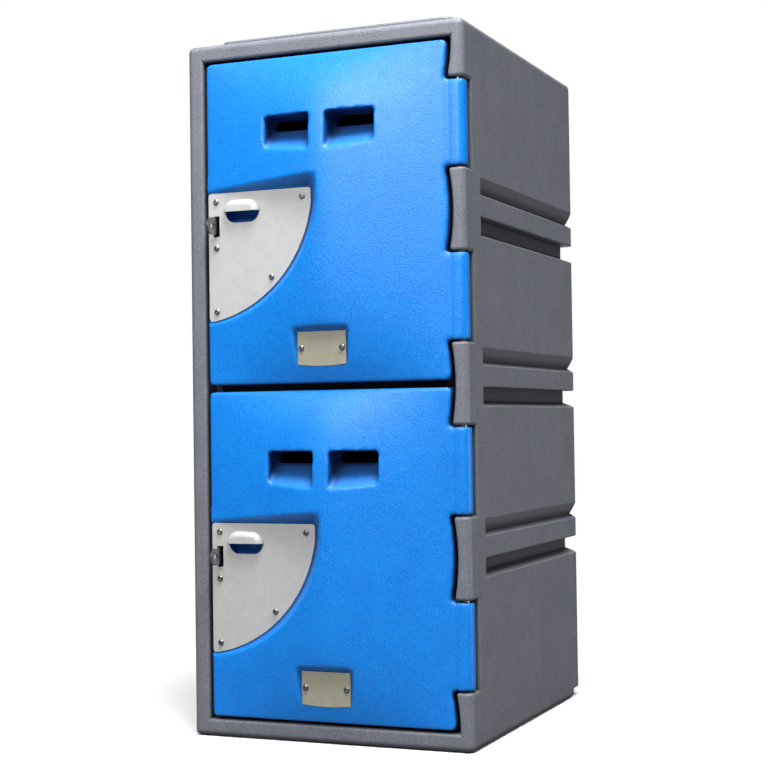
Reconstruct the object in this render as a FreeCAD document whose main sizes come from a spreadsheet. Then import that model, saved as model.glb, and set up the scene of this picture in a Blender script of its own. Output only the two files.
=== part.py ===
import FreeCAD, Part
import Sketcher
import math
import os
import re

# Two-tier plastic storage locker: a one-piece rotationally moulded body, a shelf
# that divides it, and two hollow doors on one long hinge rod, each with a steel
# lock plate, a number plate and a padlock staple that comes through the door.
# Millimetres. X to the right, Y to the back, Z up; the origin is on the floor at
# the middle of the overall box.

Vector = FreeCAD.Vector
doc = FreeCAD.newDocument("Locker")

# Driving sizes

SIZES = {
    # Moulded body
    "width": 385,
    "depth": 465,
    "height": 900,
    "wall": 5,
    "edge_round": 8,
    "rim_side": 23.5,
    "rim_top": 22.3,
    "rim_bottom": 23,
    "rim_round": 4,
    "knuckle_end_corner": 4,
    "stop_lip": 10,
    # Stacking pad on top, its recess underneath, and the rebate along the back of the base
    "pad_height": 12.5,
    "pad_side_inset": 28,
    "pad_end_inset": 38,
    "pad_round": 14,
    "pad_edge_round": 4,
    "pad_clearance": 1.5,
    "rebate_height": 12,
    "rebate_depth": 30,
    # Bands moulded into both sides: a sloped valley, a rail and a groove under it
    "band_count": 3,
    "band_pitch": 213.3,
    "band_rise": 22.95,
    "band_front": 58,
    "valley_depth": 10.5,
    "valley_slope": 17,
    "valley_lip": 5.5,
    "rail_height": 27,
    "groove_depth": 18.5,
    "groove_floor": 17,
    "groove_flare": 7,
    "band_edge_round": 2,
    # Doors
    "door_gap": 3.7,
    "door_split": 8.9,
    "door_thick": 27.5,
    "door_wall": 5,
    "door_corner": 6,
    "stop_gap": 0.5,
    "crown": 19,
    "crown_power": 4,
    "crown_ridge": 0.15,
    # Hinge
    "barrel": 21,
    "barrel_round": 8,
    "barrel_crease": 2,
    "pin_inset": 10,
    "pin_depth": 10.5,
    "fixed_width": 22,
    "waist": 5,
    "hinge_gap": 5,
    "web_overlap": 0.5,
    "knuckle_inset": 48.8,
    "knuckle_length": 107.5,
    "knuckle_gap": 2,
    "knuckle_corner": 3,
    "rod_radius": 4,
    "rod_in_body": 0.02,
    "rod_in_door": 0.06,
    "rod_end_cover": 10,
    "plug_length": 8,
    "plug_radius": 6.5,
    "plug_fit": 0.05,
    "washer_radius": 7,
    "washer_thick": 1.7,
    # Lock plate, measured from the lower left corner of its door leaf
    "lock_left": 2.5,
    "lock_top": 249.5,
    "lock_width": 147,
    "lock_height": 166.5,
    "lock_side": 20,
    "lock_foot": 7,
    "lock_arc": 171.5,
    "lock_corner": 4,
    "lock_thick": 2,
    "recess_margin": 1.5,
    "recess_draft": 33.5,
    "lock_recess_corner": 9,
    "pull_x": 51.5,
    "pull_z": 224,
    "pull_width": 51.6,
    "pull_height": 31,
    "pull_reach": 9,
    "pull_sheet": 1.6,
    "hood_flat": 1,
    "pocket_margin": 3,
    "pocket_depth": 17,
    # Padlock staple
    "staple_x": 13.3,
    "staple_z": 206.5,
    "staple_thick": 3,
    "staple_reach": 24,
    "staple_height": 22,
    "tab_flat": 0.05,
    "staple_eye": 4.75,
    "staple_eye_back": 11,
    "staple_foot_height": 64,
    "staple_foot_width": 27,
    "slot_width": 8.5,
    "slot_height": 27,
    "slot_offset": 0.75,
    "slot_margin": 1,
    "staple_bolt_spacing": 44,
    # Vents
    "vent_gap": 22,
    "vent_width": 65,
    "vent_sill": 295.3,
    "vent_top": 342.5,
    "vent_face": 17,
    "vent_slope": 41.7,
    "vent_back": 18,
    "vent_slot_inset": 2,
    "vent_corner": 4,
    # Number plate
    "number_width": 66.6,
    "number_height": 41.6,
    "number_sag": 2,
    "number_z": 44.2,
    "number_forward": 7,
    "number_thick": 1.5,
    "number_screw_spacing": 56.4,
    "number_offset": 2.3,
    "number_recess_corner": 4,
    # Lock plate screws: from the leaf's lower left corner, or from the plate's top and foot
    "screw_edge": 13.7,
    "screw_far": 137.4,
    "screw_top_margin": 11.2,
    "screw_middle": 178,
    "screw_foot_margin": 12.2,
    "screw_arc_x": 93.1,
    "screw_arc_z": 137.4,
    # Screws and moulded-in brass inserts
    "screw_head_radius": 4,
    "screw_head_height": 2.2,
    "screw_head_round": 1.6,
    "screw_radius": 2,
    "screw_length": 11,
    "screw_socket": 1.4,
    "screw_socket_depth": 1.3,
    "hole_clearance": 0.3,
    "insert_radius": 3.5,
    "insert_length": 10,
    "boss_wall": 3,
    # How far a cutting body stands past the face that it opens
    "past": 1,
    "bolt_radius": 2.5,
    "bolt_head_radius": 4.4,
    "bolt_head_depth": 2.6,
    "bolt_head_gap": 0.1,
    "bolt_tip": 1,
    "nut_across": 8,
    "nut_thick": 4,
    # Divider shelf
    "shelf_thick": 5,
    "shelf_clearance": 0.5,
    "shelf_side_lip": 15,
    "shelf_nose": 26,
}

# Places worked out from the driving sizes

PLACES = {
    "left": "=-Sizes.width / 2",
    "right": "=Sizes.width / 2",
    "front": "=(Sizes.staple_reach - Sizes.depth) / 2",
    "back": "=front + Sizes.depth",
    "jamb_left": "=left + Sizes.rim_side",
    "jamb_top": "=Sizes.height - Sizes.rim_top",
    "jamb_bottom": "=Sizes.rim_bottom",
    "stop": "=front + Sizes.door_thick + Sizes.stop_gap",
    "inside_front": "=stop + Sizes.wall",
    "fixed_edge": "=right - Sizes.fixed_width",
    "fixed_waist": "=fixed_edge + Sizes.waist",
    "leaf_left": "=jamb_left + Sizes.door_gap",
    "leaf_edge": "=fixed_edge - Sizes.hinge_gap",
    "leaf_waist": "=fixed_waist - Sizes.hinge_gap",
    "leaf_back": "=front + Sizes.door_thick",
    "leaf_height": "=(jamb_top - jamb_bottom - 2 * Sizes.door_gap - Sizes.door_split) / 2",
    "lower_leaf": "=jamb_bottom + Sizes.door_gap",
    "upper_leaf": "=lower_leaf + leaf_height + Sizes.door_split",
    "middle": "=upper_leaf - Sizes.door_split / 2",
    "pin_x": "=right - Sizes.pin_inset",
    "pin_y": "=front + Sizes.pin_depth",
    "web_edge": "=pin_x - Sizes.rod_radius + Sizes.web_overlap",
    "number_x": "=(leaf_left + leaf_waist) / 2 - Sizes.number_offset",
    "first_knuckle": "=Sizes.knuckle_inset",
    "second_knuckle": "=leaf_height - Sizes.knuckle_inset - Sizes.knuckle_length",
    "lock_seat": "=front + Sizes.lock_thick",
    "screw_upper": "=Sizes.lock_top - Sizes.screw_top_margin",
    "screw_lower": "=Sizes.lock_top - Sizes.lock_height + Sizes.screw_foot_margin",
    "number_seat": "=front - Sizes.number_forward + Sizes.number_thick",
    "middle_rail": "=middle + Sizes.band_rise",
    "shelf_channel": "=middle_rail - Sizes.rail_height + Sizes.wall",
    "shelf_top": "=shelf_channel + Sizes.shelf_thick",
    "deck_front": "=front + Sizes.pad_end_inset - Sizes.pad_clearance - Sizes.wall",
    "deck_back": "=back - Sizes.pad_end_inset + Sizes.pad_clearance + Sizes.wall",
    "opening_left": "=jamb_left + Sizes.stop_lip",
    "opening_right": "=leaf_edge - Sizes.stop_lip",
    "opening_bottom": "=jamb_bottom + Sizes.stop_lip",
    "opening_top": "=jamb_top - Sizes.stop_lip",
}


def fill_sheet(label, entries):
    made = doc.addObject("Spreadsheet::Sheet", label)
    for row, (name, content) in enumerate(entries.items(), start=1):
        made.set(f"A{row}", name)
        made.set(f"B{row}", str(content))
        made.setAlias(f"B{row}", name)
    doc.recompute()
    return made


sizes = fill_sheet("Sizes", SIZES)
places = fill_sheet("Places", PLACES)


def in_sheets(text):
    """An expression in plain names, with each name led by the sheet that holds it."""
    def with_sheet(match):
        word = match.group(0)
        if word in SIZES:
            return f"Sizes.{word}"
        if word in PLACES:
            return f"Places.{word}"
        return word
    return re.sub(r"[a-z]\w*", with_sheet, str(text))


def bind(thing, prop, text):
    thing.setExpression(prop, in_sheets(text))


def value(text):
    return float(sizes.evalExpression(in_sheets(text)))


# Building blocks

ALONG_X = FreeCAD.Rotation(Vector(0, 1, 0), 90)
TO_FRONT = FreeCAD.Rotation(Vector(1, 0, 0), 90)
UPRIGHT = FreeCAD.Rotation()


def new_body(label):
    made = doc.addObject("PartDesign::Body", label)
    made.Label = label
    return made


def feature(owner, kind, name, cut):
    side = "Subtractive" if cut else "Additive"
    return owner.newObject(f"PartDesign::{side}{kind}", name)


def place(thing, point, rotation=UPRIGHT):
    thing.Placement = FreeCAD.Placement(Vector(), rotation)
    for axis, text in zip("xyz", point):
        bind(thing, f"Placement.Base.{axis}", text)


def block(owner, name, low, high, cut=False):
    """A box from its lowest to its highest corner, added to the body or cut from it."""
    made = feature(owner, "Box", name, cut)
    for prop, start, end in zip(("Length", "Width", "Height"), low, high):
        bind(made, prop, f"({end}) - ({start})")
    place(made, low)
    return made


def cylinder(owner, name, start, radius, length, rotation=UPRIGHT, cut=False):
    made = feature(owner, "Cylinder", name, cut)
    bind(made, "Radius", radius)
    bind(made, "Height", length)
    place(made, start, rotation)
    return made


def cone(owner, name, start, first, second, length, rotation=UPRIGHT, cut=False):
    made = feature(owner, "Cone", name, cut)
    bind(made, "Radius1", first)
    bind(made, "Radius2", second)
    bind(made, "Height", length)
    place(made, start, rotation)
    return made


def new_sketch(owner, name, role, offset):
    """A sketch on one of the body's own planes, moved along Y, X or Z by the offset."""
    made = owner.newObject("Sketcher::SketchObject", name)
    plane = [item for item in owner.Origin.OriginFeatures if item.Role == role][0]
    made.AttachmentSupport = (plane, [""])
    made.MapMode = "FlatFace"
    bind(made, "AttachmentOffset.Base.z", f"-({offset})" if role == "XZ_Plane" else offset)
    return made


def arc_between(start, end, radius, turns_left):
    chord = end - start
    rise = math.sqrt(max(radius ** 2 - (chord.Length / 2) ** 2, 0))
    normal = Vector(-chord.y, chord.x, 0).normalize()
    centre = start + chord * 0.5 + normal * (rise if turns_left else -rise)
    circle = Part.Circle(centre, Vector(0, 0, 1), radius)
    first, last = (start, end) if turns_left else (end, start)
    angles = [math.atan2(point.y - centre.y, point.x - centre.x) for point in (first, last)]
    if angles[1] < angles[0]:
        angles[1] += 2 * math.pi
    return Part.ArcOfCircle(circle, angles[0], angles[1])


def draw(sketch, corners):
    """A closed outline; a corner with a radius starts an arc, which turns left or right."""
    points = [Vector(value(corner[0]), value(corner[1]), 0) for corner in corners]
    first = sketch.GeometryCount
    ends = []
    for number, corner in enumerate(corners):
        start, end = points[number], points[(number + 1) % len(points)]
        if len(corner) == 2:
            sketch.addGeometry(Part.LineSegment(start, end))
            ends.append((1, 2))
            continue
        turns_left = corner[3] == "left"
        sketch.addGeometry(arc_between(start, end, value(corner[2]), turns_left))
        ends.append((1, 2) if turns_left else (2, 1))
        rule = sketch.addConstraint(
            Sketcher.Constraint("Radius", first + number, value(corner[2])))
        bind(sketch, f"Constraints[{rule}]", corner[2])
    for number, corner in enumerate(corners):
        after = (number + 1) % len(corners)
        own = (first + number, ends[number][0])
        sketch.addConstraint(Sketcher.Constraint(
            "Coincident", first + number, ends[number][1], first + after, ends[after][0]))
        for kind, text in (("DistanceX", corner[0]), ("DistanceY", corner[1])):
            rule = sketch.addConstraint(Sketcher.Constraint(kind, -1, 1, *own, value(text)))
            bind(sketch, f"Constraints[{rule}]", text)


def pad(owner, name, sketch, length, backwards=False, draft=None):
    made = owner.newObject("PartDesign::Pad", name)
    made.Profile = sketch
    bind(made, "Length", length)
    made.Reversed = backwards
    if draft:
        bind(made, "TaperAngle", draft)
    return made


def pocket(owner, name, sketch, length, backwards=False):
    made = owner.newObject("PartDesign::Pocket", name)
    made.Profile = sketch
    bind(made, "Length", length)
    made.Reversed = backwards
    return made


def fillet(owner, name, base, edges, radius):
    doc.recompute()
    made = owner.newObject("PartDesign::Fillet", name)
    made.Base = (base, edges)
    bind(made, "Radius", radius)
    return made


def edges_where(base, rule):
    """Names of the edges whose list of points, two ends and the middle, meets a rule."""
    doc.recompute()
    names = []
    for number, edge in enumerate(base.Shape.Edges, start=1):
        middle = edge.valueAt((edge.FirstParameter + edge.LastParameter) / 2)
        if rule([vertex.Point for vertex in edge.Vertexes] + [middle]):
            names.append(f"Edge{number}")
    return names


def near(first, second):
    return abs(first - second) < 0.01


def along(points, axis):
    """True for a straight edge that runs along one axis."""
    others = [name for name in "xyz" if name != axis]
    return all(near(getattr(point, name), getattr(points[0], name))
               for point in points for name in others)


def level(points, axis, height):
    return all(near(getattr(point, axis), height) for point in points)


def cut(label, base, tool):
    made = doc.addObject("Part::Cut", label)
    made.Base = base
    made.Tool = tool
    made.Label = label
    return made


def join(label, shapes):
    made = doc.addObject("Part::MultiFuse", label)
    made.Shapes = shapes
    made.Label = label
    return made


def overlap(label, first, second):
    made = doc.addObject("Part::Common", label)
    made.Base = first
    made.Tool = second
    made.Label = label
    return made


def gather(label, members):
    """Separate solids kept together as one group, such as a set of screws."""
    made = doc.addObject("Part::Compound", label)
    made.Links = members
    made.Label = label
    return made


# Moulded body

LEAVES = {"lower": "lower_leaf", "upper": "upper_leaf"}
KNUCKLES = ("first_knuckle", "second_knuckle")


def rail_top(number):
    return f"middle_rail + ({number} - (band_count - 1) / 2) * band_pitch"


def band_hollows(side, top):
    """Valley and groove of one band, as seen from the front; side is 1 right, -1 left."""
    groove = f"{top} - rail_height"
    valley = ((f"{side} * (right + past)", f"{top} + valley_lip + valley_slope"),
              (f"{side} * right", f"{top} + valley_lip + valley_slope"),
              (f"{side} * (right - valley_depth)", f"{top} + valley_lip"),
              (f"{side} * right", top),
              (f"{side} * (right + past)", top))
    slot = ((f"{side} * (right + past)", groove),
            (f"{side} * (right - groove_depth)", groove),
            (f"{side} * (right - groove_depth)", f"{groove} - groove_floor"),
            (f"{side} * right", f"{groove} - groove_floor - groove_flare"),
            (f"{side} * (right + past)", f"{groove} - groove_floor - groove_flare"))
    return valley, slot


def band_linings(side, top):
    """The wall behind the valley and the groove, standing inside the body."""
    groove = f"{top} - rail_height"
    valley = ((f"{side} * (right - wall / 2)", f"{top} + valley_lip + valley_slope + wall"),
              (f"{side} * (right - valley_depth - wall)", f"{top} + valley_lip + wall / 2"),
              (f"{side} * (right - valley_depth - wall)", f"{top} - wall"),
              (f"{side} * (right - wall / 2)", f"{top} - wall"))
    slot = ((f"{side} * (right - wall / 2)", f"{groove} + wall"),
            (f"{side} * (right - groove_depth - wall)", f"{groove} + wall"),
            (f"{side} * (right - groove_depth - wall)", f"{groove} - groove_floor - wall"),
            (f"{side} * (right - wall / 2)", f"{groove} - groove_floor - groove_flare - wall"))
    return valley, slot


def door_recess_outline():
    """Where the two doors and their knuckles lie, gaps included, seen from the front."""
    corners = [("jamb_left", "jamb_bottom"),
               ("fixed_waist", "jamb_bottom", scallop("first_knuckle - knuckle_gap + door_gap"), "left")]
    upper_edges = []
    for leaf in LEAVES.values():
        for knuckle in KNUCKLES:
            upper_edges.append((f"{leaf} + {knuckle} - knuckle_gap",
                                f"{leaf} + {knuckle} + knuckle_length + knuckle_gap"))
    for number, (low, high) in enumerate(upper_edges):
        corners += [("fixed_edge", low), ("right + past", low), ("right + past", high)]
        if number + 1 < len(upper_edges):
            following = upper_edges[number + 1][0]
            half = f"(({following}) - ({high})) / 2"
            corners += [("fixed_edge", high, scallop(half), "left"),
                        ("fixed_waist", f"{high} + {half}", scallop(half), "left")]
    last = upper_edges[-1][1]
    corners += [("fixed_edge", last, scallop(f"jamb_top - ({last})"), "left"),
                ("fixed_waist", "jamb_top"),
                ("jamb_left", "jamb_top")]
    return corners


def scallop(half):
    """Radius of the arc that leaves its chord's end square and stands out by the waist."""
    return f"(({half}) ^ 2 + waist ^ 2) / (2 * waist)"


def build_carcass():
    body = new_body("carcass")
    outer = block(body, "outer", ("left", "front", "0"), ("right", "back", "height"))
    fillet(body, "outer_round", outer, edges_where(outer, lambda points: True), "edge_round")

    inset, clear = "pad_side_inset", "pad_clearance"
    pad_block = block(body, "stacking_pad",
                      (f"left + {inset}", "front + pad_end_inset", "height - wall"),
                      (f"right - {inset}", "back - pad_end_inset", "height + pad_height"))
    top = value("height")
    corners = edges_where(pad_block, lambda points: along(points, "z") and points[-1].z > top)
    pad_sides = fillet(body, "pad_corners", pad_block, corners, "pad_round")
    lid = top + value("pad_height")
    fillet(body, "pad_round_top", pad_sides,
           edges_where(pad_sides, lambda points: level(points, "z", lid)), "pad_edge_round")

    block(body, "compartments", ("left + wall", "inside_front", "wall"),
          ("right - wall", "back - wall", "height - wall"), cut=True)
    block(body, "pad_inside",
          (f"left + {inset} + wall", "front + pad_end_inset + wall", "height - 2 * wall"),
          (f"right - {inset} - wall", "back - pad_end_inset - wall", "height + pad_height - wall"),
          cut=True)

    block(body, "deck", (f"left + {inset} - {clear} - wall", "deck_front", "wall / 2"),
          (f"right - {inset} + {clear} + wall", "deck_back", "pad_height + pad_clearance + wall"))
    block(body, "stacking_recess", (f"left + {inset} - {clear}", "deck_front + wall", "-past"),
          (f"right - {inset} + {clear}", "deck_back - wall", "pad_height + pad_clearance"), cut=True)
    block(body, "rebate_lining", ("left + wall / 2", "back - rebate_depth - wall", "wall / 2"),
          ("right - wall / 2", "back - wall / 2", "rebate_height + wall"))
    block(body, "rebate", ("left - past", "back - rebate_depth", "-past"),
          ("right + past", "back + past", "rebate_height"), cut=True)

    bands = range(int(value("band_count")))
    linings = new_sketch(body, "band_lining_outline", "XZ_Plane", "front + band_front - wall")
    hollows = new_sketch(body, "band_hollow_outline", "XZ_Plane", "front + band_front")
    for side in (1, -1):
        for number in bands:
            for corners in band_linings(side, rail_top(number)):
                draw(linings, corners)
            for corners in band_hollows(side, rail_top(number)):
                draw(hollows, corners)
    pad(body, "band_linings", linings, "depth - band_front + wall / 2", backwards=True)
    banded = pocket(body, "band_hollows", hollows, "depth")
    fillet(body, "band_round", banded, band_edges(banded), "band_edge_round")

    recess = new_sketch(body, "door_recess_outline", "XZ_Plane", "front - past")
    draw(recess, door_recess_outline())
    recess_cut = pocket(body, "door_recess", recess, "stop - front + past")
    cornered = fillet(body, "knuckle_end_corners", recess_cut, knuckle_end_edges(recess_cut),
                      "knuckle_end_corner")
    fillet(body, "rim_inner_round", cornered, rim_inner_edges(cornered), "rim_round")
    block(body, "opening", ("opening_left", "stop - past", "opening_bottom"),
          ("opening_right", "inside_front + past", "opening_top"), cut=True)
    block(body, "rim_inside_left", ("left + wall", "front + wall", "wall"),
          ("jamb_left - wall", "inside_front + past", "height - wall"), cut=True)
    block(body, "rim_inside_top", ("left + wall", "front + wall", "jamb_top + wall"),
          ("leaf_edge", "inside_front + past", "height - wall"), cut=True)
    block(body, "rim_inside_bottom", ("left + wall", "front + wall", "wall"),
          ("leaf_edge", "deck_front", "jamb_bottom - wall"), cut=True)

    cylinder(body, "rod_bore", ("pin_x", "pin_y", "-past"), "rod_radius + rod_in_body",
             "height - rod_end_cover + past", cut=True)
    cylinder(body, "plug_seat", ("pin_x", "pin_y", "-past"), "plug_radius + plug_fit",
             "plug_length + past", cut=True)
    for name, leaf in LEAVES.items():
        for side, sign in (("low", "-"), ("high", "+")):
            point = staple_bolt(leaf, sign)
            cylinder(body, f"bolt_hole_{name}_{side}", (point[0], "inside_front + past", point[2]),
                     "bolt_radius + hole_clearance", "wall + 2 * past", TO_FRONT, cut=True)
            cone(body, f"bolt_sink_{name}_{side}", (point[0], "stop + bolt_head_depth", point[2]),
                 "bolt_radius", "bolt_head_radius", "bolt_head_depth", TO_FRONT, cut=True)
    return body


def band_edges(base):
    """Edges where the bands' valleys and grooves open into the sides, with their front ends."""
    side, band_front = value("right"), value("front + band_front")
    lowest, highest = value("edge_round + past"), value("height - edge_round - past")

    def is_band_edge(points):
        if not all(near(abs(point.x), side) for point in points):
            return False
        inside = all(lowest < point.z < highest for point in points)
        return inside and (along(points, "y") or level(points, "y", band_front))
    return edges_where(base, is_band_edge)


def knuckle_end_edges(base):
    """Edges that run back from the front where a fixed knuckle's end meets its inner side."""
    edge = value("fixed_edge")

    def is_end(points):
        return along(points, "y") and level(points, "x", edge)
    return edges_where(base, is_end)


def rim_inner_edges(base):
    """Edges of the door recess on the front, and where the moving knuckles leave the side open."""
    front, stop, side = value("front"), value("stop"), value("right")
    outer = value("edge_round")
    beyond = (value("left") + outer, value("right") - outer, outer, value("height") - outer)

    def is_inner(points):
        if level(points, "y", stop) and level(points, "x", side):
            return True
        on_outline = (level(points, "x", beyond[0]) or level(points, "x", beyond[1])
                      or level(points, "z", beyond[2]) or level(points, "z", beyond[3]))
        return level(points, "y", front) and not on_outline
    return edges_where(base, is_inner)


def staple_bolt(leaf, sign):
    return ("opening_left - stop_lip / 2", "stop", f"{leaf} + staple_z {sign} staple_bolt_spacing / 2")


# Divider shelf, hinge rod and its plug and washers

def build_shelf():
    body = new_body("divider_shelf")
    loose = "shelf_clearance"
    block(body, "plate", (f"left + wall + {loose}", f"inside_front + {loose}", "shelf_channel"),
          (f"right - wall - {loose}", f"back - wall - {loose}", "shelf_top"))
    block(body, "tongue", (f"opening_left + {loose}", "stop", "shelf_channel"),
          (f"opening_right - {loose}", f"inside_front + {loose} + wall", "shelf_top"))
    block(body, "nose", (f"opening_left + {loose}", "stop", "middle - shelf_nose / 2"),
          (f"opening_right - {loose}", "stop + wall", "middle + shelf_nose / 2"))
    for name, low, high in (("left", f"left + wall + {loose}", f"left + wall + {loose} + shelf_thick"),
                            ("right", f"right - wall - {loose} - shelf_thick", f"right - wall - {loose}")):
        block(body, f"lip_{name}", (low, f"inside_front + {loose}", "shelf_channel"),
              (high, f"back - wall - {loose}", "shelf_channel + shelf_side_lip"))
    return body


def build_rod():
    body = new_body("hinge_rod")
    cylinder(body, "rod", ("pin_x", "pin_y", "plug_length"), "rod_radius",
             "height - rod_end_cover - plug_length")
    return body


def build_plug():
    body = new_body("hinge_rod_plug")
    cylinder(body, "plug", ("pin_x", "pin_y", "0"), "plug_radius", "plug_length")
    return body


def build_washers(name, leaf):
    rings = []
    for knuckle in KNUCKLES:
        ring = new_body(f"washer_{name}_{knuckle}")
        seat = ("pin_x", "pin_y", f"{leaf} + {knuckle} - knuckle_gap")
        cylinder(ring, "ring", seat, "washer_radius", "washer_thick")
        cylinder(ring, "bore", seat, "rod_radius + rod_in_door", "washer_thick", cut=True)
        rings.append(ring)
    return gather(f"hinge_washers_{name}", rings)


# Padlock staple, its countersunk bolts and the nuts behind it

def build_staple(name, leaf):
    body = new_body(f"staple_{name}")
    tab_left = "leaf_left + staple_x - staple_thick / 2"
    tab_right = "leaf_left + staple_x + staple_thick / 2"
    centre = f"{leaf} + staple_z"
    foot = block(body, "foot", (f"{tab_right} - staple_foot_width", "inside_front",
                                f"{centre} - staple_foot_height / 2"),
                 (tab_right, "inside_front + staple_thick", f"{centre} + staple_foot_height / 2"))
    tab = block(body, "tab", (tab_left, "front - staple_reach", f"{centre} - staple_height / 2"),
                (tab_right, "inside_front + staple_thick", f"{centre} + staple_height / 2"))
    tip = value("front - staple_reach")
    nose = edges_where(tab, lambda points: along(points, "x") and near(points[0].y, tip))
    fillet(body, "tab_round", tab, nose, "staple_height / 2 - tab_flat")
    cylinder(body, "eye", (f"{tab_left} - past", "front - staple_reach + staple_eye_back", centre),
             "staple_eye", "staple_thick + 2 * past", ALONG_X, cut=True)
    for side, sign in (("low", "-"), ("high", "+")):
        point = staple_bolt(leaf, sign)
        cylinder(body, f"hole_{side}", (point[0], "inside_front + staple_thick + past", point[2]),
                 "bolt_radius + hole_clearance", "staple_thick + 2 * past", TO_FRONT, cut=True)
    return body


def build_staple_bolts(name, leaf):
    bolts = []
    for side, sign in (("low", "-"), ("high", "+")):
        bolt = new_body(f"bolt_{name}_{side}")
        x, _, z = staple_bolt(leaf, sign)
        length = "wall + staple_thick + nut_thick + bolt_tip"
        cylinder(bolt, "shank", (x, f"stop + {length}", z), "bolt_radius", length, TO_FRONT)
        cone(bolt, "head", (x, "stop + bolt_head_depth", z), "bolt_radius",
             "bolt_head_radius - bolt_head_gap", "bolt_head_depth", TO_FRONT)
        hexagon(bolt, "socket", (x, "stop + screw_socket_depth", z), "screw_socket",
                "screw_socket_depth + past", cut=True)
        bolts.append(bolt)
    return gather(f"staple_bolts_{name}", bolts)


def hexagon(owner, name, start, radius, length, cut=False):
    made = feature(owner, "Prism", name, cut)
    made.Polygon = 6
    bind(made, "Circumradius", radius)
    bind(made, "Height", length)
    place(made, start, TO_FRONT)
    return made


def build_staple_nuts(name, leaf):
    nuts = []
    for side, sign in (("low", "-"), ("high", "+")):
        nut = new_body(f"nut_{name}_{side}")
        x, _, z = staple_bolt(leaf, sign)
        seat = (x, "inside_front + staple_thick + nut_thick", z)
        hexagon(nut, "hexagon", seat, "nut_across / sqrt(3)", "nut_thick")
        cylinder(nut, "thread", seat, "bolt_radius + rod_in_body", "nut_thick", TO_FRONT, cut=True)
        nuts.append(nut)
    return gather(f"staple_nuts_{name}", nuts)


# Lock plate and number plate

def lock_outline(leaf, margin="0", left_margin="0"):
    """The quarter-round plate: square at the top left, an arc from its foot to its right side."""
    left = "(leaf_left + lock_left)"
    top = f"({leaf} + lock_top)"
    return [(f"{left} - {left_margin}", f"{top} - lock_height - {margin}"),
            (f"{left} + lock_foot", f"{top} - lock_height - {margin}", f"lock_arc + {margin}", "left"),
            (f"{left} + lock_width + {margin}", f"{top} - lock_side"),
            (f"{left} + lock_width + {margin}", f"{top} + {margin}"),
            (f"{left} - {left_margin}", f"{top} + {margin}")]


def half_stadium(leaf, inset, side):
    """Upper (side 1) or lower (side -1) half of the finger pull's rounded outline."""
    x, z = "(leaf_left + pull_x)", f"({leaf} + pull_z)"
    radius = f"(pull_height / 2 - {inset})"
    reach = f"(pull_width / 2 - {inset})"
    far = f"{z} + {side} * {radius}"
    turn = "left" if side == 1 else "right"
    corners = [(f"{x} - {reach}", z),
               (f"{x} + {reach}", z, radius, turn),
               (f"{x} + {reach} - {radius}", far),
               (f"{x} - {reach} + {radius}", far, radius, turn)]
    return corners


def build_lock_plate(name, leaf):
    body = new_body(f"lock_plate_{name}")
    outline = new_sketch(body, "outline", "XZ_Plane", "lock_seat")
    draw(outline, lock_outline(leaf))
    sheet = pad(body, "sheet", outline, "lock_thick")
    left = value("leaf_left + lock_left")
    right = value("leaf_left + lock_left + lock_width")
    top = value(f"{leaf} + lock_top")
    foot = value(f"{leaf} + lock_top - lock_height")

    def is_corner(points):
        if not along(points, "y"):
            return False
        x, z = points[0].x, points[0].z
        return (near(x, left) and (near(z, top) or near(z, foot))) or (near(x, right) and near(z, top))
    fillet(body, "corners", sheet, edges_where(sheet, is_corner), "lock_corner")

    hood = new_sketch(body, "hood_outline", "XZ_Plane", "front")
    draw(hood, half_stadium(leaf, "0", 1))
    pad(body, "hood", hood, "pull_reach")
    brim = value(f"{leaf} + pull_z")
    face = value("front - pull_reach")
    hollow = new_sketch(body, "hood_inside", "XZ_Plane", "lock_seat")
    draw(hollow, half_stadium(leaf, "pull_sheet", 1))
    inside = pocket(body, "hood_hollow", hollow, "lock_thick + pull_reach - pull_sheet", backwards=True)
    depth = value("front - pull_reach + pull_sheet")
    deep = edges_where(inside, lambda points: level(points, "y", depth) and not level(points, "z", brim))
    rounded = fillet(body, "hood_hollow_round", inside, deep, "pull_reach - pull_sheet - hood_flat")
    crest = edges_where(rounded, lambda points: level(points, "y", face) and not level(points, "z", brim))
    fillet(body, "hood_round", rounded, crest, "pull_reach - hood_flat")
    mouth = new_sketch(body, "mouth_outline", "XZ_Plane", "front - past")
    draw(mouth, half_stadium(leaf, "pull_sheet", -1))
    pocket(body, "mouth", mouth, "lock_thick + 2 * past")

    slot_x, slot_z = "leaf_left + staple_x + slot_offset", f"{leaf} + staple_z"
    block(body, "slot", (f"{slot_x} - slot_width / 2", "front - past", f"{slot_z} - slot_height / 2"),
          (f"{slot_x} + slot_width / 2", "lock_seat + past", f"{slot_z} + slot_height / 2"), cut=True)
    for number, (x, z) in enumerate(LOCK_SCREWS):
        cylinder(body, f"hole_{number}", (f"leaf_left + {x}", "lock_seat + past", f"{leaf} + {z}"),
                 "screw_radius + hole_clearance", "lock_thick + 2 * past", TO_FRONT, cut=True)
    return body


def number_outline(leaf, margin="0"):
    """A plate whose lower edge sags in the middle, like the edge of the moulding under it."""
    half = f"(number_width / 2 + {margin})"
    middle = "number_x"
    top = f"{leaf} + number_z + number_height / 2 + {margin}"
    low = f"{leaf} + number_z - number_height / 2 - {margin}"
    radius = f"({half} ^ 2 + number_sag ^ 2) / (2 * number_sag)"
    return [(f"{middle} - {half}", low, radius, "left"),
            (f"{middle}", f"{low} - number_sag", radius, "left"),
            (f"{middle} + {half}", low),
            (f"{middle} + {half}", top),
            (f"{middle} - {half}", top)]


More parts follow.
